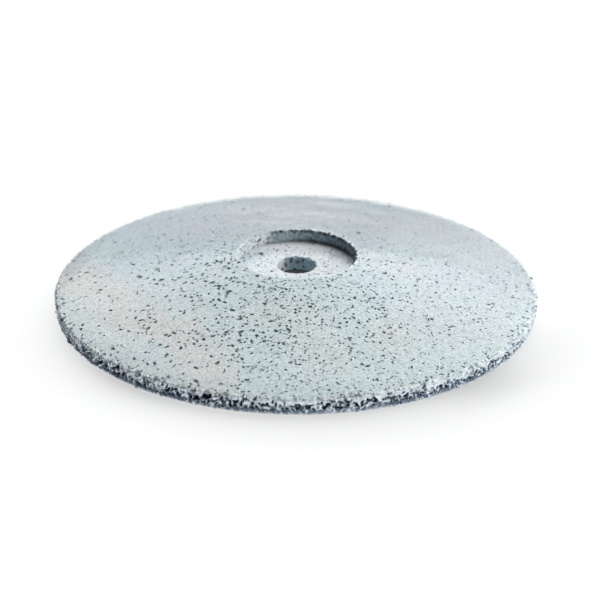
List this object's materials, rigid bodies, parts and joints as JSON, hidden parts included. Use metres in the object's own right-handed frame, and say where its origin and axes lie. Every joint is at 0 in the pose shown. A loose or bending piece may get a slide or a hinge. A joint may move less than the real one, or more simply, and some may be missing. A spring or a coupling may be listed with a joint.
{
  "type": "angle grinder carving disc",
  "caption": "Shallow cone-shaped carving disc for an angle grinder: abrasive on a dished steel plate, a recess for the lock nut, a spindle bore and a coarse grit rim.",
  "frame": {"origin": "on the spin axis, in the plane of the rim's underside", "axes": "+Z along the spin axis, out of the working face; X and Y are any two directions square to it"},
  "size_m": [0.125, 0.125, 0.0135],
  "materials": {
    "plate_steel": "pressed sheet steel, dull",
    "turned_steel": "turned, with fine rings",
    "zinc_plated_steel": "zinc plated, satin",
    "bound_grit": "bonded medium grit, matt",
    "pale_coat": "fine pale blue-grey coat with dark open pores, satin",
    "floor_coat": "smooth pale coat with few pores, satin",
    "coarse_grit": "coarse open grit, pale ridges over dark hollows"
  },
  "bodies": {
    "root": {"backing_plate": "plate_steel", "arbor_bush": "turned_steel", "hub_washer": "zinc_plated_steel", "grit_core": "bound_grit", "face_coat": "pale_coat", "recess_floor_coat": "floor_coat", "coarse_grit_rim": "coarse_grit"}
  },
  "joints": []
}
